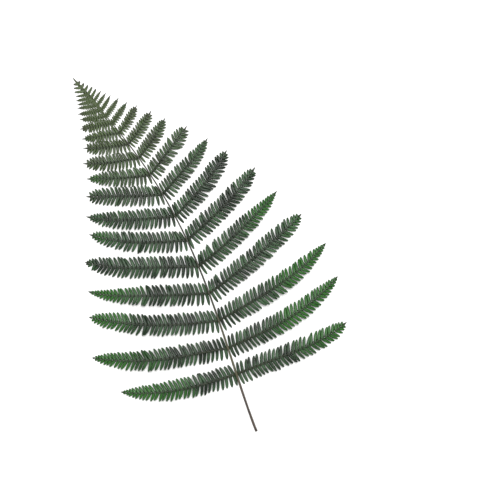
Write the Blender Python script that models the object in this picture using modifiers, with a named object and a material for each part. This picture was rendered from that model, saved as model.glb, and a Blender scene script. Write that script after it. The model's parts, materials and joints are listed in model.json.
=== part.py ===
"""A preserved fern frond lying flat, in metres with +Z up.

The rachis runs along +Y from the cut end of the stem to the tip and bows a little to +X.
Pairs of pinnae leave it, each a thin arched blade whose leaflets are cut to its midrib.
The frond rests at z = 0 on the flattened underside of its rachis and on the tips of the
pinnae, which arch down to the surface. The origin is under the centre of the whole frond.
"""

import math

import bmesh
import bpy
from mathutils import Matrix, Vector

OBJECT_NAME = "fern_frond"

# Rachis
CHORD = 0.478  # straight distance from the cut end to the tip
BOW = 0.0324  # how far the rachis stands to the right of that chord
BOW_SKEW = 1.2  # over 1, the widest bow lies past the middle
STEM_RADIUS = 0.0015  # at the cut end
TIP_RADIUS = 0.0005
SEAT_SHARE = 0.6  # height of the rachis's centre over the surface, in radii
KEEL_SHARE = 0.3  # what of its tube reaches further below the surface is its lowest line, in radii
RACHIS_STEPS = 30

# Pinnae
FIRST_PINNA = 0.072  # bare stem below the lowest pair
LAST_PINNA = 0.470
LONGEST_PINNA = 0.162
LONGEST_AT = 0.115
LOWEST_LOSS = 0.018  # how much shorter the lowest pinnae are than the longest
LENGTH_FALL = 1.3  # exponent of the fall in length towards the tip
TIP_ANGLE = math.radians(60)  # between pinna and rachis, far up the frond
ANGLE_OPENING = math.radians(24)  # added to it at the lowest pair
ANGLE_FALL = 0.110  # distance over which that opening falls to a third
RIGHT_OPENING = math.radians(18)  # added on the right at the frond's tip
RIGHT_LOSS = 0.36  # how much shorter the pinnae on the right are there
PITCH_MOST = 0.036  # spacing across the pinnae that very long ones near
PITCH_GROWTH = 0.085  # pinna length over which it grows to two thirds of that
PITCH_GROWTH_POWER = 1.5  # over 1, short pinnae stand closer together still
LEAST_PITCH = 0.0055  # along the rachis, near its tip
PINNA_BEND = 0.035  # sideways bend towards the frond's tip, as a share of the length
ANGLE_SWAY = math.radians(1.0)  # natural unevenness
LENGTH_SWAY = 0.02
PEAK = 0.010  # height of the arch of the longest pinna
PEAK_SWAY = 0.15
BLADE = 0.0007  # thickness
TIP_HEIGHT = 0.00042  # height of the middle of the blade at the end of a pinna
TOUCH = 0.0001  # what is lower than this lies on the surface

# Leaflets
LEAFLET_MOST = 0.0145  # length that leaflets near on very long pinnae
LEAFLET_GROWTH = 0.072  # pinna length over which they grow to two thirds of it
LEAFLET_GROWTH_POWER = 1.25  # over 1, short pinnae have leaflets that are shorter still
LEAFLET_ROOM = 0.47  # the most that they may be, as a share of the spacing across the pinnae
LEAFLET_PITCH = 0.88  # width of a leaflet's base, in leaflet lengths
SMALLEST_PITCH = 0.0046
LAST_STEP = 1.6  # the longest that the last leaflet's base may be, in steps
LEAN_AT_ROOT = math.radians(7)  # off the square, towards the pinna's tip
LEAN_AT_TIP = math.radians(34)
LEAFLET_NARROWING = 0.19  # taken off each side at the blunt end, as a share of the base
LEAFLET_DROOP = 0.35  # share of the midrib's height that the ends of the leaflets lose
OUTLINE_FULLNESS = 5.5  # a high value keeps the pinna wide until near its tip
OUTLINE_POINT = 0.8  # a low value makes that tip blunt
MIDRIB_WIDTH = 0.0018
MIDRIB_TIP_WIDTH = 0.0005
RACHIS_CLEARANCE = 0.0010  # between the rachis and the nearest leaflets
SHORTEST_REACH = 0.1  # length of a leaflet that has no room, in full leaflet lengths
SAME_POINT = 3e-6  # points nearer than this are one

LEAF_COLOUR = (0.115, 0.170, 0.105, 1.0)
LEAF_ROUGHNESS = 0.62


def sway(index, side, phase):
    """An uneven but repeatable value between -1 and 1."""
    return math.sin(2.39996 * index + 1.7 * side + phase)


def rachis_point(along):
    turn = math.pi * (along / CHORD) ** BOW_SKEW
    return Vector((BOW * math.sin(turn), along, 0.0))


def rachis_radius(along):
    return STEM_RADIUS + (TIP_RADIUS - STEM_RADIUS) * along / CHORD


def rachis_heading(along):
    """Angle of the rachis from +Y towards +X."""
    step = 0.001
    ahead = rachis_point(along + step) - rachis_point(max(along - step, 0.0))
    return math.atan2(ahead.x, ahead.y)


def pinna_length(along):
    if along < LONGEST_AT:
        below = (LONGEST_AT - along) / (LONGEST_AT - FIRST_PINNA)
        return LONGEST_PINNA - LOWEST_LOSS * below**2
    above = (along - LONGEST_AT) / (CHORD - LONGEST_AT)
    return LONGEST_PINNA * (1.0 - above**LENGTH_FALL)


def pinna_angle(along):
    return TIP_ANGLE + ANGLE_OPENING * math.exp((FIRST_PINNA - along) / ANGLE_FALL)


def grown(length, most, over, power):
    """A measure that grows with the length of a pinna and nears its most on long ones."""
    return most * (1.0 - math.exp(-((length / over) ** power)))


def spacing(length):
    """Distance across pinnae of this length from one to the next."""
    pitch = grown(length, PITCH_MOST, PITCH_GROWTH, PITCH_GROWTH_POWER)
    return max(pitch, LEAST_PITCH * math.sin(TIP_ANGLE))


def leaflet_length(length):
    leaflet = grown(length, LEAFLET_MOST, LEAFLET_GROWTH, LEAFLET_GROWTH_POWER)
    return min(leaflet, LEAFLET_ROOM * spacing(length))


def leaflet_lean(share):
    """Lean of the leaflets at a share of their pinna's length."""
    return LEAN_AT_ROOT + (LEAN_AT_TIP - LEAN_AT_ROOT) * share * share


def outline(share):
    """Width of a pinna at a share of its length, against its widest."""
    return max(1.0 - share**OUTLINE_FULLNESS, 0.0) ** OUTLINE_POINT


def pinna_places():
    """Distances along the chord at which the pairs of pinnae leave the rachis."""
    places = []
    along = FIRST_PINNA
    while along < LAST_PINNA:
        places.append(along)
        along += spacing(pinna_length(along)) / math.sin(pinna_angle(along))
    return places


class Pinna:
    """One pinna: side is -1 on the left of the rachis and 1 on the right."""

    def __init__(self, index, along, side):
        self.side = side
        right = along / CHORD if side > 0 else 0.0
        length = pinna_length(along) * (1.0 - RIGHT_LOSS * right**4)
        self.length = length * (1.0 + LENGTH_SWAY * sway(index, side, 0.4))
        self.leaflet = leaflet_length(self.length)
        angle = pinna_angle(along) + RIGHT_OPENING * right**2
        self.angle = angle + ANGLE_SWAY * sway(index, side, 1.1)
        self.radius = rachis_radius(along)
        self.root = rachis_point(along)
        self.root.z = max(SEAT_SHARE * self.radius, TIP_HEIGHT)
        heading = rachis_heading(along) + side * self.angle
        self.forward = Vector((math.sin(heading), math.cos(heading), 0.0))
        self.tipward = Vector((-side * self.forward.y, side * self.forward.x, 0.0))
        share = self.length / LONGEST_PINNA
        self.peak = PEAK * share * (1.0 + PEAK_SWAY * sway(index, side, 2.3))

    def stations(self):
        """Places of the notches between leaflets, closer together towards the tip."""
        places = [0.0, self.radius + RACHIS_CLEARANCE]
        while True:
            size = outline(places[-1] / self.length) ** 0.5
            step = max(LEAFLET_PITCH * self.leaflet * size, SMALLEST_PITCH)
            if places[-1] + LAST_STEP * step > self.length:
                return places + [self.length]
            places.append(places[-1] + step)

    def reach(self, along, tipward):
        """Length of the leaflet there. On the side of the frond's tip it stops short of the rachis."""
        full = self.leaflet * outline(along / self.length)
        lean = self.angle + leaflet_lean(along / self.length)
        room = along * math.sin(self.angle) - self.radius - RACHIS_CLEARANCE
        if not tipward or full * math.cos(lean) < room:
            return full
        return max(room / math.cos(lean), SHORTEST_REACH * self.leaflet)

    def placed(self, flat):
        """Where a point of the flat blade (along, across) lies on the arched pinna."""
        share = min(flat.x / self.length, 1.0)
        rise = 4.0 * share * (1.0 - share)
        level = self.root.z + (TIP_HEIGHT - self.root.z) * share
        midrib = level + self.peak * rise
        off = min(abs(flat.y) / self.leaflet, 1.0)
        height = midrib - LEAFLET_DROOP * off * off * (midrib - TIP_HEIGHT)
        bend = PINNA_BEND * self.length * share * share
        point = self.root + self.forward * flat.x + self.tipward * (flat.y + bend)
        point.z = height
        return point


def midrib_strip(mesh, pinna, places):
    """A ladder of quads along the midrib, as wide as the midrib at each notch."""
    steps = len(places) - 1
    bmesh.ops.create_grid(mesh, x_segments=steps, y_segments=1, size=0.5)
    for vertex in mesh.verts:
        number = round((vertex.co.x + 0.5) * steps)
        share = places[number] / pinna.length
        width = MIDRIB_WIDTH + (MIDRIB_TIP_WIDTH - MIDRIB_WIDTH) * share
        vertex.co = Vector((places[number], math.copysign(width / 2, vertex.co.y), 0.0))


def add_leaflet(mesh, pinna, edge):
    """Pulls one leaflet out of its own stretch of the midrib's edge."""
    low, high = sorted(vertex.co.x for vertex in edge.verts)
    middle = (low + high) / 2
    across = math.copysign(1.0, edge.verts[0].co.y)
    reach = pinna.reach(middle, across > 0)
    lean = leaflet_lean(middle / pinna.length)
    base = high - low
    pulled = bmesh.ops.extrude_edge_only(mesh, edges=[edge])["geom"]
    for vertex in pulled:
        if not isinstance(vertex, bmesh.types.BMVert):
            continue
        inward = LEAFLET_NARROWING * base * (1 if vertex.co.x < middle else -1)
        vertex.co.x += reach * math.sin(lean) + inward
        vertex.co.y += across * reach * math.cos(lean)


def leaflet_bases(mesh, first):
    """The stretches of the midrib's two long edges from the first notch on."""
    bases = []
    for edge in mesh.edges:
        low, high = sorted(vertex.co.x for vertex in edge.verts)
        if edge.is_boundary and low > first - SAME_POINT and high - low > SAME_POINT:
            bases.append(edge)
    return bases


def make_pinna(index, along, side):
    pinna = Pinna(index, along, side)
    places = pinna.stations()
    sheet = bmesh.new()
    midrib_strip(sheet, pinna, places)
    for edge in leaflet_bases(sheet, places[1]):
        add_leaflet(sheet, pinna, edge)
    bmesh.ops.triangulate(sheet, faces=sheet.faces[:])
    for vertex in sheet.verts:
        vertex.co = pinna.placed(vertex.co)
    bmesh.ops.recalc_face_normals(sheet, faces=sheet.faces[:])
    mesh = bpy.data.meshes.new("pinna")
    sheet.to_mesh(mesh)
    sheet.free()
    blade = bpy.data.objects.new("pinna", mesh)
    thicken = blade.modifiers.new("Blade thickness", "SOLIDIFY")
    thicken.thickness = BLADE
    thicken.offset = 0.0
    return blade


def flatten_underside(tube):
    """Takes out the lowest line of the tube and lays the lines beside it on the surface."""
    keel = []
    for edge in tube.edges:
        depths = [vertex.co.z / rachis_radius(vertex.co.y) for vertex in edge.verts]
        if max(depths) < -KEEL_SHARE:
            keel.append(edge)
    bmesh.ops.dissolve_edges(tube, edges=keel, use_verts=True)
    for vertex in tube.verts:
        vertex.co.z = max(vertex.co.z, 0.0)


def make_rachis():
    """A tapering tube, flattened where it lies on the surface."""
    curve = bpy.data.curves.new("rachis", "CURVE")
    curve.dimensions = "3D"
    curve.bevel_depth = 1.0
    curve.bevel_resolution = 2
    curve.use_fill_caps = True
    spline = curve.splines.new("POLY")
    spline.points.add(RACHIS_STEPS)
    for step, point in enumerate(spline.points):
        along = CHORD * step / RACHIS_STEPS
        place = rachis_point(along)
        place.z = SEAT_SHARE * rachis_radius(along)
        point.co = (*place, 1.0)
        point.radius = rachis_radius(along)
    tube = bpy.data.objects.new("rachis tube", curve)
    bpy.context.scene.collection.objects.link(tube)
    graph = bpy.context.evaluated_depsgraph_get()
    mesh = bpy.data.meshes.new_from_object(tube.evaluated_get(graph))
    bpy.data.objects.remove(tube)
    bpy.data.curves.remove(curve)
    welded = bmesh.new()
    welded.from_mesh(mesh)
    bmesh.ops.remove_doubles(welded, verts=welded.verts, dist=SAME_POINT)
    flatten_underside(welded)
    welded.to_mesh(mesh)
    welded.free()
    return bpy.data.objects.new(OBJECT_NAME, mesh)


def join_all(frond, pieces):
    """One Boolean union of the rachis with every pinna, applied."""
    union = frond.modifiers.new("Pinnae", "BOOLEAN")
    union.operation = "UNION"
    union.operand_type = "COLLECTION"
    union.collection = pieces
    union.solver = "EXACT"
    graph = bpy.context.evaluated_depsgraph_get()
    joined = bpy.data.meshes.new_from_object(frond.evaluated_get(graph))
    frond.modifiers.clear()
    frond.data = joined
    for piece in list(pieces.objects):
        bpy.data.objects.remove(piece)
    bpy.data.collections.remove(pieces)


def press_on_surface(frond):
    """Lays the tips of the pinnae on the surface, which the flattened rachis touches too."""
    pressed = bmesh.new()
    pressed.from_mesh(frond.data)
    for vertex in pressed.verts:
        if vertex.co.z < TOUCH:
            vertex.co.z = 0.0
    bmesh.ops.triangulate(pressed, faces=pressed.faces[:])
    bmesh.ops.remove_doubles(pressed, verts=pressed.verts, dist=SAME_POINT)
    pressed.to_mesh(frond.data)
    pressed.free()


def centre_on_base(frond):
    """Moves the mesh so that the origin is under the centre of its box."""
    corners = [Vector(corner) for corner in frond.bound_box]
    low = Vector(min(corner[axis] for corner in corners) for axis in range(3))
    high = Vector(max(corner[axis] for corner in corners) for axis in range(3))
    middle = (low + high) / 2
    frond.data.transform(Matrix.Translation((-middle.x, -middle.y, -low.z)))


def leaf_material():
    material = bpy.data.materials.new("preserved leaf")
    material.use_nodes = True
    shader = material.node_tree.nodes["Principled BSDF"]
    shader.inputs["Base Color"].default_value = LEAF_COLOUR
    shader.inputs["Roughness"].default_value = LEAF_ROUGHNESS
    shader.inputs["Metallic"].default_value = 0.0
    return material


def main():
    for old in list(bpy.data.objects):
        bpy.data.objects.remove(old)
    home = bpy.data.collections.new("Preserved fern frond")
    bpy.context.scene.collection.children.link(home)
    frond = make_rachis()
    home.objects.link(frond)
    pieces = bpy.data.collections.new("Pinnae")
    bpy.context.scene.collection.children.link(pieces)
    for index, along in enumerate(pinna_places()):
        for side in (-1, 1):
            pieces.objects.link(make_pinna(index, along, side))
    join_all(frond, pieces)
    press_on_surface(frond)
    centre_on_base(frond)
    frond.data.materials.clear()
    frond.data.materials.append(leaf_material())


main()
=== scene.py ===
"""A preserved fern frond lying on a pale surface, seen from straight above."""
import json
import math
from dataclasses import dataclass

import bpy
import numpy as np
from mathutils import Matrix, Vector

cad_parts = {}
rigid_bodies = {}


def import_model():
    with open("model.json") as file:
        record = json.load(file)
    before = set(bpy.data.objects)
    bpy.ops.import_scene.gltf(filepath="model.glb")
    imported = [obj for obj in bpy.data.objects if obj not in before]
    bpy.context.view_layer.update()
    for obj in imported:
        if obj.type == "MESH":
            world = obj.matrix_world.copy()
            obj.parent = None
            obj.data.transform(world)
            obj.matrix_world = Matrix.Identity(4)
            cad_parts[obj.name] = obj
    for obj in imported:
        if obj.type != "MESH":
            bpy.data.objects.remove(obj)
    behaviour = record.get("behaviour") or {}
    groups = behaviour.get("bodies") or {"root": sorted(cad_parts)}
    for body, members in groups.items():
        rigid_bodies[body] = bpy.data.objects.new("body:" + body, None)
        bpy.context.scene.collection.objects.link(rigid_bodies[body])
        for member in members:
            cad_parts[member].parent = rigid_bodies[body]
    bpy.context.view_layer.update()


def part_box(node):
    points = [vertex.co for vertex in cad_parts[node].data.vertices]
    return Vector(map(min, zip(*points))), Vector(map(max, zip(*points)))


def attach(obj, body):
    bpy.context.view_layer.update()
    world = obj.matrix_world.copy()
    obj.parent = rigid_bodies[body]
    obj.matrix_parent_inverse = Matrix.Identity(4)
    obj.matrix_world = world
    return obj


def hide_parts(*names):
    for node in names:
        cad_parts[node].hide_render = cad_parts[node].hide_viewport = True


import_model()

NODE = "fern_frond"

# The frond's own measures, in metres, as in the solid that these pieces replace
CHORD = 0.478  # straight distance from the cut end to the tip
BOW = 0.0324  # how far the rachis stands to the right of that chord
BOW_SKEW = 1.2  # over 1, the widest bow lies past the middle
STEM_RADIUS = 0.0015  # at the cut end
TIP_RADIUS = 0.0005
SEAT_SHARE = 0.6  # height of the rachis's centre over the surface, in radii
FIRST_PINNA = 0.072  # bare stem below the lowest pair
LAST_PINNA = 0.470
LONGEST_PINNA = 0.162
LONGEST_AT = 0.115
LOWEST_LOSS = 0.018  # how much shorter the lowest pinnae are than the longest
LENGTH_FALL = 1.3  # exponent of the fall in length towards the tip
TIP_ANGLE = math.radians(60)  # between pinna and rachis, far up the frond
ANGLE_OPENING = math.radians(24)  # added to it at the lowest pair
ANGLE_FALL = 0.110  # distance over which that opening falls to a third
RIGHT_OPENING = math.radians(18)  # added on the right at the frond's tip
RIGHT_LOSS = 0.36  # how much shorter the pinnae on the right are there
PITCH_MOST = 0.036  # spacing across the pinnae that very long ones near
PITCH_GROWTH = 0.085  # pinna length over which it grows to two thirds of that
PITCH_GROWTH_POWER = 1.5  # over 1, short pinnae stand closer together still
LEAST_PITCH = 0.0055  # along the rachis, near its tip
PINNA_BEND = 0.035  # sideways bend towards the frond's tip, as a share of the length
ANGLE_SWAY = math.radians(1.0)  # natural unevenness
LENGTH_SWAY = 0.02
PEAK = 0.010  # height of the arch of the longest pinna
PEAK_SWAY = 0.15
TIP_HEIGHT = 0.00042  # height of the middle of the blade at the end of a pinna
LEAFLET_MOST = 0.0145  # length that leaflets near on very long pinnae
LEAFLET_GROWTH_POWER = 1.25  # over 1, short pinnae have leaflets that are shorter still
LEAFLET_DROOP = 0.35  # share of the midrib's height that the ends of the leaflets lose
OUTLINE_POINT = 0.8  # a low value makes the end of a pinna blunt

# Outline of the pinnae, fuller than in the solid, where leaflets keep clear of the next pinna
LEAFLET_GROWTH = 0.053  # pinna length over which leaflets grow to two thirds of the most
LEAFLET_ROOM = 0.73  # the most that they may be, as a share of the spacing across the pinnae
OUTLINE_FULLNESS = 6.3  # a high value keeps the pinna wide until near its tip
YOUNG_FULLNESS = 2.0  # of the shortest pinnae, which taper all the way
FULL_FROM = 0.050  # pinna length from which the outline has its whole fullness
FULLNESS_SWAY = 0.42  # how much the fullness differs between pinnae
OUTLINE_END = 0.3  # how far before the tip it ends, in lengths of the narrow point there

# Fine form of the pinnae
UNDIVIDED = 0.0135  # pinnae shorter than this are single lobes
LOBE_SHARE = 0.54  # half the width of a lobe above its foot, as a share of their spacing
WING_START = 0.408  # from here up the rachis is winged
WING_HALF_WIDTH = 0.0024
WING_HEIGHT = 0.00045  # low enough for the rachis to stand out of it as a ridge
WING_SHADE = 0.4  # its place in the range of leaf tones, 0 to 1
WING_BROWN = 0.0075  # length of the brown point that ends the frond
STEP_BASE = 0.0014  # spacing of the smallest leaflets
STEP_GROWTH = 0.25  # added to it, in leaflet lengths
STEP_FALL = 0.35  # exponent of its fall towards the end of a pinna
STATIONS_START = 0.5  # where the first leaflet begins, in radii of the rachis
STATIONS_END = 0.5  # and how far before the tip the last one ends, in lengths of the narrow point
CURL_LOW = 0.075  # slope at which the lowest pinnae sag, before their ends turn up the frond
CURL_HIGH = 0.020  # and the highest ones
CURL_SWAY = 0.35  # how much the slope differs between pinnae
WANDER = 0.016  # sideways waver of a pinna, as a share of its length
WANDER_WAVE = 4.5  # how much of a wave it goes through, in radians
ROLL = math.radians(13)  # how far a pinna's blade turns about its midrib
ROLL_WAVE = 3.2
PHASE_SPREAD = 3.0  # how far these waves are shifted between pinnae
TAIL_MOST = 0.0090  # the most that the narrow point at the end of a pinna may be long
TAIL_BASE = 0.0022  # length of the least
TAIL_GROWTH = 0.16  # added to it on short pinnae, in pinna lengths
TAIL_LOSS = 0.6  # how much shorter it is again on the longest pinnae
TAIL_HALF_WIDTH = 0.0011
TAIL_WIDENING = 0.05  # added to it, in leaflet lengths
TAIL_RAISE = 0.00008  # how far it starts above the midrib's axis
LOBE_RAISE = 0.0002  # and an undivided lobe
LOBE_AIM = 0.001  # distance from the rachis at which a lobe takes its direction
END_LIFT = 0.0006  # uneven height of the ends of both
FREE_LEAFLET = 0.0110  # leaflets longer than this are free to the midrib
FUSED_LEAFLET = 0.0045  # and shorter than this they are joined for over a third of their length

# Fine form of a leaflet
LEAN_NEAR = math.radians(7)  # off the square, at the foot of a pinna
LEAN_FAR = math.radians(34)  # and at its tip
RACHIS_REACH = 0.010  # nearer than about this to the rachis, leaflets turn to lie along it
LEAN_JITTER = math.radians(4)
SHINGLE = math.radians(9)  # turn about its own midvein, so that one margin stands higher
SHINGLE_JITTER = math.radians(9)
SHINGLE_FULL = 0.006  # leaflet length from which it turns the whole way
LENGTH_JITTER = 0.06
LEAST_LENGTH = 0.55  # in widths of its base
STUB_LENGTH = 0.25  # least length beside the rachis, as a share of the pinna's longest leaflets
RACHIS_CLEARANCE = 0.2  # least distance to the rachis's centre line, in radii of the rachis
STEEPEST = math.radians(89)
LIFT_SPREAD = 0.0011  # uneven height of the ends
LIFT_FULL = 0.012  # leaflet length from which it has its whole effect
STRAY_SHARE = 0.05  # of leaflets that are bent further out of line
STRAY_LEAN = math.radians(13)
SICKLE = 0.10  # sideways sweep of its end towards the pinna's tip, in lengths
END_CROWDING = 0.92  # under 1, its steps lie closer together towards the end
BLADE = 0.00034  # sets the thickness, which the keel brings to about half a millimetre
KEEL = 0.6  # depth of the keel under the midvein, in blades
KEEL_GROWTH = 0.7  # added to it on wide leaflets
FULL_HALF_WIDTH = 0.0020  # from which a leaflet has its whole relief
MARGIN_ROLL = 0.00085  # how far the margins turn down
MARGIN_POWER = 2.2  # a high value keeps the turn near the margins
MARGIN_ONSET = 6  # it is full from one over this of the length on
GROOVE = 0.00012  # depth of the channel over its midvein
GROOVE_REACH = 0.2  # half its width, in half widths of the leaflet
CORRUGATION = 0.00005  # height of the ripples between side veins
VEIN_SLANT = 0.9  # how far they run forward on their way to the margin, in ripples
TOOTH_DEPTH = 0.07  # of the scalloped margin, as a share of the half width
TOOTH_SPACING = 0.0018
LEAST_TEETH = 3
FLOOR_GAP = 0.00015
TIP_BROWN = 0.9  # how far the browning reaches from the end of a pinna, in lengths of its point
LEAST_BROWN = 0.0035  # the shortest point that this counts from
LONG_LEAFLET = 0.0085
LONG_DETAIL = (20, 6)  # steps along and across
MIDDLE_LEAFLET = 0.0045
MIDDLE_DETAIL = (14, 4)
SHORT_DETAIL = (8, 4)
LOBE_DETAIL = (16, 6)
TAIL_DETAIL = (16, 4)
WING_DETAIL = (40, 6)

# Fine form of the midribs
MIDRIB_BASE = 0.00026  # half width at the foot
MIDRIB_GROWTH = 0.0034  # added to it, in pinna lengths
MIDRIB_TAPER = 0.72  # how much narrower it is at the tip
MIDRIB_END = 0.3  # and its very end, as a share of that
MIDRIB_FLARE = 0.7  # how much wider it is where it leaves the rachis
FLARE_REACH = 0.003
MIDRIB_RISE = 0.85  # half height, in half widths
MIDRIB_HIGHEST = 0.00062
MIDRIB_RAISE = 0.1  # how far its centre lies above the feet of the leaflets, in half heights
MIDRIB_STEP = 0.004  # between its rings of vertices
LEAST_STEPS = 6
MIDRIB_SIDES = 10
MIDRIB_GROOVE = 0.16

# Fine form of the stem and the rachis
STEM_RINGS = 260
STEM_SIDES = 20
STEM_GROOVE = 0.20
STEM_WAVER = 0.05  # uneven thickness, as a share
STEM_WAVES = (0.0071, 0.0193)  # lengths of its two waves, over 2 pi
FORK_SWELL = 0.16  # how much thicker it is where a pair of pinnae leaves it
FORK_REACH = 0.0022
END_RINGS = 8  # rings at the tip, over which it narrows
END_TAPER = 0.35  # to this share of its radius

# How the leaflets of a side are shared among the pieces: first pinna, and the one after the last
PARTS = {"lower": (0, 4), "middle": (4, 9), "upper": (9, None)}
SEED = 20
NEARBY = 0.0005  # distance between two points that give the direction of a midrib

# Picture
PHOTO_SIDE = 500
METRES_PER_PIXEL = 0.0012
CUT_END_PIXEL = (256.5, 431.0)
FROND_LEAN = math.radians(27.5)  # how far the chord leans left of straight up
CAMERA_HEIGHT = 1.6
SENSOR = 36.0
FLOOR_SIDE = 4.0
KEY_SIZE = 0.8
KEY_POWER = 27.0
KEY_FROM = (0.35, 0.25, 1.65)  # from the middle of the frond
FILL_SIZE = 1.6
FILL_POWER = 5.0
FILL_FROM = (-1.0, 0.5, 1.5)
WORLD_STRENGTH = 0.44


def sway(index, side, phase):
    """An uneven but repeatable value between -1 and 1."""
    return math.sin(2.39996 * index + 1.7 * side + phase)


def rachis_x(along):
    return BOW * np.sin(np.pi * (along / CHORD) ** BOW_SKEW)


def rachis_radius(along):
    return STEM_RADIUS + (TIP_RADIUS - STEM_RADIUS) * along / CHORD


def rachis_heading(along):
    """Angle of the rachis from +Y towards +X."""
    step = 0.001
    back = max(along - step, 0.0)
    return math.atan2(rachis_x(along + step) - rachis_x(back), along + step - back)


def pinna_length(along):
    if along < LONGEST_AT:
        below = (LONGEST_AT - along) / (LONGEST_AT - FIRST_PINNA)
        return LONGEST_PINNA - LOWEST_LOSS * below**2
    above = (along - LONGEST_AT) / (CHORD - LONGEST_AT)
    return LONGEST_PINNA * (1.0 - above**LENGTH_FALL)


def pinna_angle(along):
    return TIP_ANGLE + ANGLE_OPENING * math.exp((FIRST_PINNA - along) / ANGLE_FALL)


def grown(length, most, over, power):
    """A measure that grows with the length of a pinna and nears its most on long ones."""
    return most * (1.0 - math.exp(-((length / over) ** power)))


def spacing(length):
    """Distance across pinnae of this length from one to the next."""
    pitch = grown(length, PITCH_MOST, PITCH_GROWTH, PITCH_GROWTH_POWER)
    return max(pitch, LEAST_PITCH * math.sin(TIP_ANGLE))


def leaflet_length(length):
    leaflet = grown(length, LEAFLET_MOST, LEAFLET_GROWTH, LEAFLET_GROWTH_POWER)
    return min(leaflet, LEAFLET_ROOM * spacing(length))


def pinna_places():
    """Distances along the chord at which the pairs of pinnae leave the rachis."""
    places = []
    along = FIRST_PINNA
    while along < LAST_PINNA:
        places.append(along)
        along += spacing(pinna_length(along)) / math.sin(pinna_angle(along))
    return places


def unit(vectors):
    return vectors / np.linalg.norm(vectors, axis=-1, keepdims=True)


class Pinna:
    """The midrib of one pinna: side is -1 on the left of the rachis and 1 on the right."""

    def __init__(self, index, along, side):
        self.index, self.along, self.side = index, along, side
        right = along / CHORD if side > 0 else 0.0
        length = pinna_length(along) * (1.0 - RIGHT_LOSS * right**4)
        self.length = length * (1.0 + LENGTH_SWAY * sway(index, side, 0.4))
        self.leaflet = leaflet_length(self.length)
        angle = pinna_angle(along) + RIGHT_OPENING * right**2
        self.angle = angle + ANGLE_SWAY * sway(index, side, 1.1)
        curl = CURL_LOW + (CURL_HIGH - CURL_LOW) * along / CHORD
        self.curl = curl * (1.0 + CURL_SWAY * sway(index, side, 3.4))
        self.radius = rachis_radius(along)
        share = self.length / LONGEST_PINNA
        tail = min(TAIL_BASE + TAIL_GROWTH * self.length, TAIL_MOST)
        self.tail = tail * (1.0 - TAIL_LOSS * share**3)
        grown_up = min(self.length / FULL_FROM, 1.0) ** 2
        fullness = YOUNG_FULLNESS + (OUTLINE_FULLNESS - YOUNG_FULLNESS) * grown_up
        self.fullness = fullness * (1.0 + FULLNESS_SWAY * sway(index, side, 5.5) * grown_up)
        root_height = max(SEAT_SHARE * self.radius, TIP_HEIGHT)
        self.root = np.array([rachis_x(along), along, root_height])
        heading = rachis_heading(along) + side * self.angle
        self.forward = np.array([math.sin(heading), math.cos(heading), 0.0])
        self.tipward = np.array([-side * self.forward[1], side * self.forward[0], 0.0])
        self.peak = PEAK * share * (1.0 + PEAK_SWAY * sway(index, side, 2.3))

    def local_leaflet(self, distance):
        """Length of the leaflets at a distance from the rachis, before any unevenness."""
        share = np.minimum(distance / (self.length - OUTLINE_END * self.tail), 1.0)
        return self.leaflet * (1.0 - share**self.fullness) ** OUTLINE_POINT

    def midrib(self, distance):
        """Points of the midrib at these distances from the rachis."""
        share = np.clip(distance / self.length, 0.0, 1.0)
        phase = PHASE_SPREAD * sway(self.index, self.side, 0.9)
        waver = np.sin(WANDER_WAVE * share + phase) * share
        curl = self.curl * (share**4 - share)
        aside = (PINNA_BEND * share**2 + curl + WANDER * waver) * self.length
        points = self.root + np.outer(distance, self.forward) + np.outer(aside, self.tipward)
        level = self.root[2] + (TIP_HEIGHT - self.root[2]) * share
        points[:, 2] = level + self.peak * 4.0 * share * (1.0 - share)
        return points

    def axes(self, distance):
        """At each distance, unit vectors along the midrib, towards the frond's tip and up."""
        ahead = unit(self.midrib(distance + NEARBY) - self.midrib(distance - NEARBY))
        up = unit(self.side * np.cross(ahead, self.tipward))
        tipward = self.side * np.cross(up, ahead)
        share = np.clip(distance / self.length, 0.0, 1.0)
        phase = PHASE_SPREAD * sway(self.index, self.side, 1.9)
        roll = ROLL * np.sin(ROLL_WAVE * share + phase) * np.sqrt(share) * (1.0 - share)
        tipward, up = turned(tipward, up, roll)
        return ahead, tipward, up

    def browned_end(self):
        """The tip and how far the brown reaches around it."""
        tip = self.midrib(np.array([self.length]))[0]
        return tip, TIP_BROWN * max(self.tail, LEAST_BROWN)


class Shape:
    """Collects vertices, faces and per-vertex values of one piece.

    Per vertex, blade holds where it lies along and beside its leaflet and the leaflet's seed,
    place the share along the pinna, the height up the frond and the pinna's seed, and brown
    how brown it is.
    """

    def __init__(self):
        self.points, self.blade, self.place, self.brown = [], [], [], []
        self.faces, self.slots = [], []
        self.count = 0

    def add(self, points, blade, place, brown, faces, slots):
        self.points.append(points)
        self.blade.append(blade)
        self.place.append(place)
        self.brown.append(brown)
        self.faces.extend(tuple(corner + self.count for corner in face) for face in faces)
        self.slots.extend(slots)
        self.count += len(points)

    def piece(self, name, materials, shift, floor_gap):
        """Makes the object, moved into the frame, with nothing lower than the gap."""
        mesh = bpy.data.meshes.new(name)
        points = np.concatenate(self.points) + shift
        points[:, 2] = np.maximum(points[:, 2], floor_gap)
        mesh.from_pydata(points.tolist(), [], self.faces)
        for material in materials:
            mesh.materials.append(material)
        mesh.polygons.foreach_set("material_index", self.slots)
        for label, values in (("blade", self.blade), ("place", self.place)):
            layer = mesh.attributes.new(label, "FLOAT_VECTOR", "POINT")
            layer.data.foreach_set("vector", np.concatenate(values).astype(np.float32).ravel())
        layer = mesh.attributes.new("brown", "FLOAT", "POINT")
        layer.data.foreach_set("value", np.concatenate(self.brown).astype(np.float32))
        mesh.polygons.foreach_set("use_smooth", [True] * len(mesh.polygons))
        mesh.update()
        made = bpy.data.objects.new(name, mesh)
        bpy.context.scene.collection.objects.link(made)
        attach(made, "root")
        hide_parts(NODE)
        return made


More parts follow.
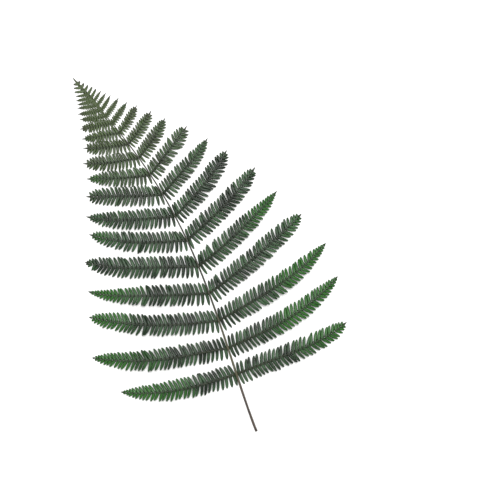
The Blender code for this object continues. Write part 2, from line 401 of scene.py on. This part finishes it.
def blade_faces(steps, across):
    """Faces of one closed leaflet: a grid on top, two strips below and a fan at each end."""
    row = across + 2
    below = across + 1
    faces, slots = [], []
    for i in range(steps):
        for j in range(across):
            a, b = i * row + j, (i + 1) * row + j
            faces.append((a, b, b + 1, a + 1))
            slots.append(0)
        near, far = i * row, (i + 1) * row
        faces.append((near, near + below, far + below, far))
        faces.append((near + below, near + across, far + across, far + below))
        slots += [1, 1]
    last = steps * row
    for j in range(across):
        faces.append((j, j + 1, below))
        faces.append((last + j + 1, last + j, last + below))
        slots += [1, 1]
    return faces, slots


@dataclass
class Row:
    """A row of leaflets: each array holds one entry for each of them."""

    share: np.ndarray  # where it stands along its pinna, 0 to 1
    origin: np.ndarray  # the middle of its base
    out: np.ndarray  # unit vectors along it, across it and up from it
    wide: np.ndarray
    up: np.ndarray
    length: np.ndarray
    pitch: np.ndarray  # the room for its width
    dip: np.ndarray  # how far its end bends down, and up
    lift: np.ndarray
    sweep: np.ndarray  # towards which side it curves, -1 or 1, or 0 for straight
    seed: np.ndarray


def rounding(along, start, power):
    """Falls from 1 to 0 between a start and the end of a leaflet."""
    past = np.maximum((along - start) / (1.02 - start), 0.0)
    return np.sqrt(np.maximum(1.0 - past**power, 0.0))


def leaflet_width(row, along, teeth):
    """Half width of each leaflet from its base to its end, in metres."""
    fused = np.clip((FREE_LEAFLET - row.length) / (FREE_LEAFLET - FUSED_LEAFLET), 0.0, 1.0)[:, None]
    body = 0.47 - 0.06 * row.share[:, None]
    free = (body - 0.07 * along) * rounding(along, 0.55, 2.2)
    free = free + 0.17 * np.exp(-((along / 0.07) ** 2))
    joined = (0.10 + 0.48 * (1.0 - along**1.9)) * rounding(along, 0.82, 2.0)
    depth = TOOTH_DEPTH * (along > 0.08)
    scallop = 1.0 - depth * (0.5 + 0.5 * np.cos(2 * np.pi * teeth * along))
    share = (1.0 - fused) * free * scallop + fused * joined
    return np.maximum(share, 0.03) * row.pitch[:, None]


def tail_width(row, along, teeth):
    """Half width of the narrow point at the end of a pinna, with a few low teeth."""
    notches = 0.16 * (0.5 + 0.5 * np.cos(2 * np.pi * teeth * along)) * (along < 0.6)
    taper = (1.0 - 0.97 * along) ** 0.75
    return (taper * (1.0 - notches))[None, :] * row.pitch[:, None]


def lobe_width(row, along, teeth):
    """Half width of an undivided lobe, wide where it joins the wing of the rachis."""
    notches = 1.0 - 0.22 * (0.5 + 0.5 * np.cos(8 * np.pi * along)) * (along > 0.2)
    shape = (1.0 - 0.6 * along) * rounding(along, 0.7, 2.0) + 0.3 * np.exp(-((along / 0.12) ** 2))
    return np.maximum(shape * notches, 0.05)[None, :] * row.pitch[:, None]


def wing_width(row, along, teeth):
    """Half width of the wing along the upper rachis, which ends as the frond's own point."""
    rise = np.clip(along / 0.55, 0.0, 1.0)
    fall = np.clip((along - 0.62) / 0.38, 0.0, 1.0)
    shape = (0.18 + 0.82 * rise * rise * (3 - 2 * rise)) * (1.0 - 0.62 * fall**0.7)
    shape = shape * np.sqrt(1.0 - 0.97 * fall**8)
    return shape[None, :] * row.pitch[:, None]


def leaflet_detail(length):
    """Steps along and across a leaflet, by its size."""
    if length > LONG_LEAFLET:
        return LONG_DETAIL
    if length > MIDDLE_LEAFLET:
        return MIDDLE_DETAIL
    return SHORT_DETAIL


def leaflet_stations(pinna):
    """Middle and width of each leaflet's base along one side of a pinna."""
    places = [STATIONS_START * pinna.radius]
    end = pinna.length - STATIONS_END * pinna.tail
    while True:
        local = float(pinna.local_leaflet(places[-1]))
        step = STEP_BASE + STEP_GROWTH * pinna.leaflet * (local / pinna.leaflet) ** STEP_FALL
        if places[-1] + step > end:
            break
        places.append(places[-1] + step)
    edges = np.array(places)
    return (edges[1:] + edges[:-1]) / 2, edges[1:] - edges[:-1]


def turned(wide, up, angle):
    """The two cross axes of each leaflet or midrib after a turn about its own length."""
    cosine, sine = np.cos(angle)[:, None], np.sin(angle)[:, None]
    return cosine * wide + sine * up, cosine * up - sine * wide


def leaflet_row(pinna, flank, random):
    """The leaflets on one flank of a pinna: 1 towards the frond's tip, -1 away from it."""
    middle, pitch = leaflet_stations(pinna)
    share = middle / pinna.length
    number = len(middle)
    length = pinna.local_leaflet(middle) * (1.0 + LENGTH_JITTER * random.uniform(-1, 1, number))
    length = np.maximum(length, LEAST_LENGTH * pitch)
    lean = LEAN_NEAR + (LEAN_FAR - LEAN_NEAR) * share**1.6
    along_rachis = flank * (math.pi / 2 - pinna.angle)
    lean += (along_rachis - LEAN_NEAR) * np.exp(-middle / RACHIS_REACH)
    lean += LEAN_JITTER * random.uniform(-1, 1, number)
    stray = random.uniform(0, 1, number) < STRAY_SHARE
    lean += stray * STRAY_LEAN * random.uniform(-1, 1, number)
    if flank > 0:
        room = middle * math.sin(pinna.angle) - RACHIS_CLEARANCE * pinna.radius
        closing = np.cos(np.minimum(pinna.angle + lean, STEEPEST))
        shorter = np.maximum(room / closing, STUB_LENGTH * pinna.leaflet)
        length = np.where(closing * length > room, np.minimum(shorter, length), length)
    origin = pinna.midrib(middle)
    ahead, tipward, up = pinna.axes(middle)
    out = np.sin(lean)[:, None] * ahead + flank * np.cos(lean)[:, None] * tipward
    wide = np.cross(up, out)
    sweep = np.sign(np.sum(wide * ahead, axis=1))
    angle = sweep * SHINGLE + SHINGLE_JITTER * random.uniform(-1, 1, number)
    wide, up = turned(wide, up, angle * np.minimum(length / SHINGLE_FULL, 1.0))
    dip = LEAFLET_DROOP * (origin[:, 2] - TIP_HEIGHT)
    lift = LIFT_SPREAD * random.uniform(-1, 1, number) * np.minimum(length / LIFT_FULL, 1.0)
    seed = random.uniform(0, 1, number)
    return Row(share, origin, out, wide, up, length, pitch, dip, lift, sweep, seed)


def tail_row(pinna, random):
    """The narrow point that ends a pinna, as a row of one."""
    start = np.array([max(pinna.length - pinna.tail, 0.0)])
    ahead, _, up = pinna.axes(start)
    origin = pinna.midrib(start) + TAIL_RAISE * up
    half = np.array([TAIL_HALF_WIDTH + TAIL_WIDENING * pinna.leaflet])
    straight = np.zeros(1)
    dip = origin[:, 2] - TIP_HEIGHT
    lift = END_LIFT * random.uniform(-1, 1, 1)
    seed = random.uniform(0, 1, 1)
    length = np.array([pinna.tail])
    share = start / pinna.length
    wide = np.cross(up, ahead)
    return Row(share, origin, ahead, wide, up, length, half, dip, lift, straight, seed)


def lobe_row(pinna, random):
    """A short pinna as one undivided lobe."""
    start = np.zeros(1)
    ahead, _, up = pinna.axes(np.array([LOBE_AIM]))
    origin = pinna.midrib(start) + LOBE_RAISE * up
    half = np.array([LOBE_SHARE * spacing(pinna.length)])
    dip = origin[:, 2] - TIP_HEIGHT
    lift = END_LIFT * random.uniform(-1, 1, 1)
    sweep = np.array([float(pinna.side)])
    length = np.array([pinna.length])
    wide = np.cross(up, ahead)
    seed = random.uniform(0, 1, 1)
    return Row(start, origin, ahead, wide, up, length, half, dip, lift, sweep, seed)


def wing_row():
    """The wing of the upper rachis, as a row of one."""
    start = np.array([rachis_x(WING_START), WING_START, WING_HEIGHT])
    end = np.array([rachis_x(CHORD), CHORD, WING_HEIGHT])
    out = unit(end - start)[None, :]
    up = np.array([[0.0, 0.0, 1.0]])
    wide = np.cross(up, out)
    none = np.zeros(1)
    length = np.array([np.linalg.norm(end - start)])
    half = np.array([WING_HALF_WIDTH])
    shade = np.array([WING_SHADE])
    return Row(shade, start[None, :], out, wide, up, length, half, none, none, none, shade)


def blade_points(pinna, row, widths, along, beside):
    """Vertices of each leaflet in a row: at each step those across its top, then one below."""
    teeth = max(round(pinna.leaflet / TOOTH_SPACING), LEAST_TEETH)
    far = along[None, :, None]
    off = beside[None, None, :]
    size = row.length[:, None, None]
    half = widths(row, along, teeth)[:, :, None]
    forth = far * size + 0 * off
    sideways = off * half + (row.sweep * SICKLE)[:, None, None] * far**2 * size
    ripple = np.cos(2 * np.pi * (teeth * far - VEIN_SLANT * np.abs(off))) * (1 - np.abs(off) ** 3)
    scale = np.minimum(half / FULL_HALF_WIDTH, 1.0)
    height = (
        (row.lift - row.dip)[:, None, None] * far**2
        - scale * MARGIN_ROLL * np.abs(off) ** MARGIN_POWER * np.minimum(far * MARGIN_ONSET, 1)
        - scale * GROOVE * np.exp(-((off / GROOVE_REACH) ** 2))
        + scale * CORRUGATION * ripple
        + 0.5 * BLADE * (1 - off**2) * scale
    )
    top = spread(row, forth, sideways, height)
    top[..., 2] = np.maximum(top[..., 2], FLOOR_GAP + BLADE * (1 - off**2))
    centre = len(beside) // 2
    keel = height[:, :, centre] - BLADE * (KEEL + KEEL_GROWTH * scale[:, :, 0])
    under = spread(row, forth[:, :, centre], sideways[:, :, centre], keel)
    return np.concatenate([top, under[:, :, None, :]], axis=2)


def add_blades(shape, pinna, row, widths, detail, end=None):
    """Closed leaflets with a crowned, channelled upper face and a keel below.

    They are brown around the end, which is a point and a reach, by default the pinna's own.
    """
    steps, across = detail
    along = np.linspace(0.0, 1.0, steps + 1) ** END_CROWDING
    beside = np.linspace(-1.0, 1.0, across + 1)
    points = blade_points(pinna, row, widths, along, beside)

    blade = np.empty(points.shape)
    blade[..., 0] = along[None, :, None]
    blade[..., 1] = np.append(beside, 0.0)
    blade[..., 2] = row.seed[:, None, None]
    place = np.empty(points.shape)
    place[..., 0] = row.share[:, None, None]
    place[..., 1] = pinna.along / CHORD
    place[..., 2] = 0.5 + 0.5 * sway(pinna.index, pinna.side, 2.75)
    tip, reach = end or pinna.browned_end()
    away = np.linalg.norm(points - tip, axis=-1)
    brown = np.exp(-((away / reach) ** 2))

    faces, slots = blade_faces(steps, across)
    number = len(row.length)
    each = (steps + 1) * (across + 2)
    every = [tuple(corner + k * each for corner in face) for k in range(number) for face in faces]
    shape.add(
        points.reshape(-1, 3), blade.reshape(-1, 3), place.reshape(-1, 3), brown.ravel(),
        every, slots * number,
    )


def spread(row, forth, sideways, height):
    """Points from leaflet coordinates, for all leaflets of a row at once."""
    def axis(vectors):
        return vectors.reshape((len(vectors),) + (1,) * (forth.ndim - 1) + (3,))
    return (
        axis(row.origin)
        + axis(row.out) * forth[..., None]
        + axis(row.wide) * sideways[..., None]
        + axis(row.up) * height[..., None]
    )


def add_tube(shape, path, across, up, wide, tall, place, profile, cap_slot=0):
    """A closed tube whose cross-section follows a profile of (across, up) pairs."""
    rings, sides = len(path), len(profile)
    points = (
        path[:, None, :]
        + across[:, None, :] * (profile[None, :, 0] * wide[:, None])[..., None]
        + up[:, None, :] * (profile[None, :, 1] * tall[:, None])[..., None]
    )
    points = np.concatenate([points.reshape(-1, 3), path[:1], path[-1:]])
    faces, slots = [], []
    for i in range(rings - 1):
        for j in range(sides):
            k = (j + 1) % sides
            faces.append((i * sides + j, i * sides + k, (i + 1) * sides + k, (i + 1) * sides + j))
            slots.append(0)
    first, last = rings * sides, rings * sides + 1
    for j in range(sides):
        k = (j + 1) % sides
        faces.append((k, j, first))
        faces.append(((rings - 1) * sides + j, (rings - 1) * sides + k, last))
        slots += [cap_slot, 0]
    number = len(points)
    shape.add(
        points, np.zeros((number, 3)), np.tile(place, (number, 1)), np.zeros(number), faces, slots
    )


def grooved_profile(sides, groove):
    """A round section with a channel along its top, anticlockwise seen from its far end."""
    angles = 2 * np.pi * np.arange(sides) / sides
    off_top = np.angle(np.exp(1j * (angles - np.pi / 2)))
    radius = 1.0 - groove * np.exp(-((off_top / 0.38) ** 2))
    return np.stack([radius * np.cos(angles), radius * np.sin(angles)], axis=1)


def add_midrib(shape, pinna):
    """The raised midrib of a pinna, from inside the rachis to the pinna's tip."""
    rings = max(int(pinna.length / MIDRIB_STEP), LEAST_STEPS) + 1
    distance = np.linspace(0.0, 1.0, rings) * pinna.length
    share = distance / pinna.length
    path = pinna.midrib(distance)
    _, tipward, up = pinna.axes(np.maximum(distance, NEARBY))
    full = MIDRIB_BASE + MIDRIB_GROWTH * pinna.length
    flare = 1.0 + MIDRIB_FLARE * np.exp(-distance / FLARE_REACH)
    wide = full * flare * (1.0 - MIDRIB_TAPER * share)
    wide[-1] *= MIDRIB_END
    tall = np.minimum(MIDRIB_RISE * wide, MIDRIB_HIGHEST)
    path = path + up * (MIDRIB_RAISE * tall)[:, None]
    level = pinna.along / CHORD
    profile = grooved_profile(MIDRIB_SIDES, MIDRIB_GROOVE)
    add_tube(shape, path, tipward * pinna.side, up, wide, tall, (level, level, 0.0), profile)


def make_pinnae(name, pinnae, materials, shift, random):
    shape = Shape()
    for pinna in pinnae:
        if pinna.length < UNDIVIDED:
            add_blades(shape, pinna, lobe_row(pinna, random), lobe_width, LOBE_DETAIL)
            continue
        detail = leaflet_detail(pinna.leaflet)
        for flank in (-1, 1):
            add_blades(shape, pinna, leaflet_row(pinna, flank, random), leaflet_width, detail)
        add_blades(shape, pinna, tail_row(pinna, random), tail_width, TAIL_DETAIL)
    highest = pinnae[-1]
    if highest.along > WING_START and highest.side > 0:
        end = (np.array([rachis_x(CHORD), CHORD, 0.0]), WING_BROWN)
        add_blades(shape, highest, wing_row(), wing_width, WING_DETAIL, end)
    return shape.piece(name, materials, shift, FLOOR_GAP)


def make_midribs(name, pinnae, materials, shift):
    shape = Shape()
    for pinna in pinnae:
        add_midrib(shape, pinna)
    return shape.piece(name, materials, shift, FLOOR_GAP)


def make_rachis(materials, shift):
    """The stem from its cut end to the frond's tip, channelled on top and flat underneath."""
    shape = Shape()
    along = CHORD * np.linspace(0.0, 1.0, STEM_RINGS)
    waver = np.sin(along / STEM_WAVES[0]) * np.sin(along / STEM_WAVES[1])
    radius = rachis_radius(along) * (1.0 + STEM_WAVER * waver)
    for fork in pinna_places():
        radius *= 1.0 + FORK_SWELL * np.exp(-(((along - fork) / FORK_REACH) ** 2))
    radius[-END_RINGS:] *= np.linspace(1.0, END_TAPER, END_RINGS)
    path = np.stack([rachis_x(along), along, SEAT_SHARE * rachis_radius(along)], axis=1)
    ahead = unit(np.gradient(path, axis=0))
    up = np.tile([0.0, 0.0, 1.0], (len(path), 1))
    across = unit(np.cross(up, ahead))
    profile = grooved_profile(STEM_SIDES, STEM_GROOVE)
    add_tube(shape, path, across, up, radius, radius, (0.0, 0.0, 0.0), profile, cap_slot=1)
    shape.place[0][:, 1] = np.clip(shape.points[0][:, 1] / CHORD, 0.0, 1.0)
    return shape.piece("stem_and_rachis", materials, shift, 0.0)


class Nodes:
    """A short way to write a material's node tree."""

    def __init__(self, name):
        self.material = bpy.data.materials.new(name)
        self.material.use_nodes = True
        self.tree = self.material.node_tree
        self.shader = self.tree.nodes["Principled BSDF"]

    def put(self, target, value):
        if isinstance(value, bpy.types.NodeSocket):
            self.tree.links.new(value, target)
        elif value is not None:
            target.default_value = value

    def node(self, kind, settings=(), **inputs):
        made = self.tree.nodes.new(kind)
        for name, value in dict(settings).items():
            setattr(made, name, value)
        for name, value in inputs.items():
            self.put(made.inputs[name.replace("_", " ")], value)
        return made

    def math(self, operation, first, second=None):
        made = self.tree.nodes.new("ShaderNodeMath")
        made.operation = operation
        self.put(made.inputs[0], first)
        self.put(made.inputs[1], second)
        return made.outputs[0]

    def mix(self, factor, first, second, blend="MIX"):
        made = self.tree.nodes.new("ShaderNodeMix")
        made.data_type, made.blend_type = "RGBA", blend
        self.put(made.inputs[0], factor)
        self.put(made.inputs[6], first)
        self.put(made.inputs[7], second)
        return made.outputs[2]

    def ramp(self, value, low, high, out_low=0.0, out_high=1.0):
        """Smoothly maps the range from low to high onto the one from out_low to out_high."""
        made = self.tree.nodes.new("ShaderNodeMapRange")
        made.interpolation_type = "SMOOTHSTEP"
        for number, entry in enumerate((value, low, high, out_low, out_high)):
            self.put(made.inputs[number], entry)
        return made.outputs[0]

    def noise(self, scale, detail=4.0, rough=0.55, vector=None):
        made = self.node("ShaderNodeTexNoise", Scale=scale, Detail=detail, Roughness=rough)
        self.put(made.inputs["Vector"], vector)
        return made.outputs["Fac"]

    def values(self, label):
        found = self.node("ShaderNodeAttribute", settings={"attribute_name": label})
        parts = self.tree.nodes.new("ShaderNodeSeparateXYZ")
        self.put(parts.inputs[0], found.outputs["Vector"])
        return parts.outputs[0], parts.outputs[1], parts.outputs[2]

    def where(self):
        return self.tree.nodes.new("ShaderNodeTexCoord").outputs["Object"]

    def bump(self, height, strength, distance):
        made = self.node("ShaderNodeBump", Strength=strength, Distance=distance)
        self.put(made.inputs["Height"], height)
        self.put(self.shader.inputs["Normal"], made.outputs[0])

    def finish(self, colour, roughness, specular):
        self.put(self.shader.inputs["Base Color"], colour)
        self.put(self.shader.inputs["Roughness"], roughness)
        self.shader.inputs["Specular IOR Level"].default_value = specular
        return self.material


def rgb(red, green, blue):
    """A colour from its values as seen on a screen, 0 to 255."""
    def linear(value):
        value /= 255.0
        return value / 12.92 if value <= 0.04045 else ((value + 0.055) / 1.055) ** 2.4
    return (linear(red), linear(green), linear(blue), 1.0)


def leaf_ground(n, upper, where):
    """Leaf colour between the veins, with olive near the frond's tip and green pinna ends."""
    seed = n.values("blade")[2]
    share, height, pinna_seed = n.values("place")
    dark, light = rgb(108, 118, 92), rgb(132, 140, 114)
    if upper:
        dark, light = rgb(9, 27, 12), rgb(57, 86, 56)
    cloud = n.noise(60.0, vector=where)
    colour = n.mix(n.ramp(cloud, 0.34, 0.66), dark, light)
    tone = n.math("ADD", n.math("MULTIPLY", seed, 0.40), 0.80)
    colour = n.mix(1.0, colour, tone, "MULTIPLY")
    olive = n.mix(cloud, rgb(70, 88, 46), rgb(96, 108, 66))
    colour = n.mix(n.ramp(height, 0.55, 0.92, 0.0, 0.75), colour, olive)
    far = n.math("ADD", share, n.math("MULTIPLY", n.noise(16.0, vector=where), 0.9))
    far = n.math("ADD", far, n.math("MULTIPLY", pinna_seed, 0.35))
    far = n.math("ADD", far, n.ramp(height, 0.50, 0.25, 0.0, 0.50))
    green = n.mix(cloud, rgb(14, 74, 12), rgb(58, 118, 40))
    return n.mix(n.ramp(far, 1.45, 1.85, 0.0, 0.9), colour, green)


def leaf_material(name, upper):
    """A preserved leaf: dark green on top and paler below, veined, with painted shade along the rims
    and at the feet.
    """
    n = Nodes(name)
    where = n.where()
    along, beside, _ = n.values("blade")
    share = n.values("place")[0]
    edge = n.math("ABSOLUTE", beside)
    vein_at = n.math("SUBTRACT", n.math("MULTIPLY", along, 7.0), n.math("MULTIPLY", edge, 0.95))
    wave = n.math("ABSOLUTE", n.math("SUBTRACT", n.math("FRACT", vein_at), 0.5))
    side_vein = n.ramp(wave, 0.10, 0.0)
    middle_vein = n.ramp(edge, 0.16, 0.03)
    side_relief, middle_relief = 0.7, 0.9
    vein, midvein = rgb(160, 165, 132), rgb(150, 150, 110)
    if upper:
        side_relief, middle_relief = -0.5, -0.6
        vein, midvein = rgb(66, 86, 60), rgb(38, 52, 34)

    colour = leaf_ground(n, upper, where)
    colour = n.mix(n.math("MULTIPLY", side_vein, 0.22), colour, vein)
    colour = n.mix(n.math("MULTIPLY", middle_vein, 0.5), colour, midvein)
    # painted shade: darker towards the margins, where the turned-down rims fall into shade
    colour = n.mix(n.ramp(edge, 0.55, 1.0, 0.0, 0.75), colour, rgb(14, 22, 12))
    # painted shade: darker at each leaflet's foot, standing for shadow in the groove beside the midrib
    colour = n.mix(n.ramp(along, 0.30, 0.0, 0.0, 0.6), colour, rgb(12, 18, 10))
    leaf_end = n.math("MULTIPLY", n.ramp(along, 0.80, 1.0), n.ramp(share, 0.55, 1.0))
    colour = n.mix(n.math("MULTIPLY", leaf_end, 0.4), colour, rgb(52, 44, 36))
    brown = n.node("ShaderNodeAttribute", settings={"attribute_name": "brown"}).outputs["Fac"]
    colour = n.mix(n.math("MULTIPLY", brown, 0.85), colour, rgb(44, 36, 34))
    speck = n.ramp(n.noise(900.0, 2.0, vector=where), 0.62, 0.75)
    colour = n.mix(n.math("MULTIPLY", speck, 0.18), colour, rgb(60, 62, 44))

    grain = n.noise(2600.0, 3.0, 0.6, vector=where)
    relief = n.math("ADD", n.math("MULTIPLY", grain, 0.25), n.math("MULTIPLY", side_vein, side_relief))
    relief = n.math("ADD", relief, n.math("MULTIPLY", middle_vein, middle_relief))
    n.bump(relief, 0.6, 0.00012)
    rough = n.ramp(n.noise(220.0, vector=where), 0.3, 0.7, 0.34, 0.48)
    return n.finish(colour, rough, 0.36 if upper else 0.3)


def stem_material():
    """Streaked brown at the foot, olive at the lowest pinnae, dark above, green at the tip."""
    n = Nodes("stem skin")
    on_midrib, height, _ = n.values("place")
    where = n.where()
    streaks = n.node("ShaderNodeMapping", Vector=where)
    streaks.inputs["Scale"].default_value = (9.0, 0.35, 9.0)
    lines = n.noise(190.0, 5.0, 0.6, vector=streaks.outputs[0])
    colour = n.mix(n.ramp(lines, 0.3, 0.7), rgb(40, 32, 28), rgb(86, 74, 64))
    colour = n.mix(n.ramp(height, 0.10, 0.16, 0.0, 0.7), colour, rgb(80, 80, 54))
    colour = n.mix(n.ramp(height, 0.20, 0.38, 0.0, 0.85), colour, rgb(32, 36, 24))
    colour = n.mix(n.ramp(on_midrib, 0.0, 0.05, 0.0, 0.85), colour, rgb(34, 42, 26))
    colour = n.mix(n.ramp(height, 0.78, 0.94), colour, rgb(70, 84, 48))
    patches = n.ramp(n.noise(60.0, vector=where), 0.55, 0.75, 0.0, 0.5)
    colour = n.mix(patches, colour, rgb(48, 36, 24))
    n.bump(lines, 0.7, 0.0002)
    return n.finish(colour, n.ramp(lines, 0.3, 0.7, 0.42, 0.6), 0.4)


def cut_material():
    n = Nodes("cut end")
    where = n.where()
    pith = n.noise(2400.0, 4.0, 0.6, vector=where)
    colour = n.mix(n.ramp(pith, 0.35, 0.65), rgb(128, 104, 70), rgb(186, 162, 118))
    n.bump(pith, 0.6, 0.0002)
    return n.finish(colour, n.ramp(pith, 0.3, 0.7, 0.75, 0.9), 0.2)


def floor_material():
    n = Nodes("pale table")
    mottle = n.noise(6.0, 3.0, vector=n.where())
    colour = n.mix(mottle, rgb(251, 251, 250), rgb(254, 254, 254))
    return n.finish(colour, n.ramp(mottle, 0.3, 0.7, 0.55, 0.62), 0.2)


def make_floor():
    bpy.ops.mesh.primitive_plane_add(size=FLOOR_SIDE, location=(0.0, 0.0, 0.0))
    floor = bpy.context.object
    floor.name = "floor"
    floor.data.materials.append(floor_material())


def make_light(name, size, power, place, target):
    """A round lamp that faces its target, from a place given from there."""
    lamp = bpy.data.lights.new(name, "AREA")
    lamp.shape = "DISK"
    lamp.size = size
    lamp.energy = power
    made = bpy.data.objects.new(name, lamp)
    bpy.context.scene.collection.objects.link(made)
    made.location = target + place
    aim = -np.array(place)
    made.rotation_euler = (
        math.acos(-aim[2] / np.linalg.norm(aim)),
        0.0,
        math.atan2(aim[1], aim[0]) - math.pi / 2,
    )


def make_camera(shift):
    """Straight above, rolled so that the frond leans as in the picture."""
    right = PHOTO_SIDE / 2 - CUT_END_PIXEL[0]
    upward = CUT_END_PIXEL[1] - PHOTO_SIDE / 2
    cosine, sine = math.cos(FROND_LEAN), math.sin(FROND_LEAN)
    aside = (cosine * right + sine * upward) * METRES_PER_PIXEL
    ahead = (-sine * right + cosine * upward) * METRES_PER_PIXEL
    camera = bpy.data.cameras.new("camera")
    camera.sensor_width = SENSOR
    camera.lens = SENSOR * CAMERA_HEIGHT / (PHOTO_SIDE * METRES_PER_PIXEL)
    made = bpy.data.objects.new("camera", camera)
    bpy.context.scene.collection.objects.link(made)
    made.location = (aside + shift[0], ahead + shift[1], CAMERA_HEIGHT)
    made.rotation_euler = (0.0, 0.0, -FROND_LEAN)
    bpy.context.scene.camera = made


def frame_shift(pinnae):
    """From the stem's own coordinates to the frame's: the solid's box is centred on its origin."""
    tips = np.array([p.midrib(np.array([p.length]))[0] for p in pinnae])
    low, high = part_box(NODE)
    middle = (tips[:, 0].min() + tips[:, 0].max()) / 2
    return np.array([(low[0] + high[0]) / 2 - middle, (low[1] + high[1] - CHORD) / 2, 0.0])


def make_world():
    world = bpy.data.worlds.new("studio")
    world.use_nodes = True
    background = world.node_tree.nodes["Background"]
    background.inputs["Color"].default_value = (1.0, 1.0, 1.0, 1.0)
    background.inputs["Strength"].default_value = WORLD_STRENGTH
    bpy.context.scene.world = world
    bpy.context.scene.view_settings.view_transform = "Standard"


def make_frond(sides, shift):
    """The stem, then for each side three pieces of leaflets and one of midribs."""
    random = np.random.default_rng(SEED)
    leaf = [leaf_material("leaf upper side", True), leaf_material("leaf underside", False)]
    stem = [stem_material(), cut_material()]
    make_rachis(stem, shift)
    for label, pinnae in sides.items():
        for part, (first, last) in PARTS.items():
            make_pinnae(f"leaflets_{label}_{part}", pinnae[first:last], leaf, shift, random)
        make_midribs(f"midribs_{label}", pinnae, stem, shift)


def clear_defaults():
    for old in list(bpy.data.objects):
        if old.name in ("Cube", "Light", "Camera"):
            bpy.data.objects.remove(old)


def main():
    clear_defaults()
    places = pinna_places()
    sides = {
        label: [Pinna(index, along, side) for index, along in enumerate(places)]
        for label, side in (("left", -1), ("right", 1))
    }
    shift = frame_shift(sides["left"] + sides["right"])
    make_frond(sides, shift)
    make_floor()
    centre = shift + np.array([0.0, CHORD / 2, 0.0])
    make_light("key light", KEY_SIZE, KEY_POWER, KEY_FROM, centre)
    make_light("fill light", FILL_SIZE, FILL_POWER, FILL_FROM, centre)
    make_camera(shift)
    make_world()


main()
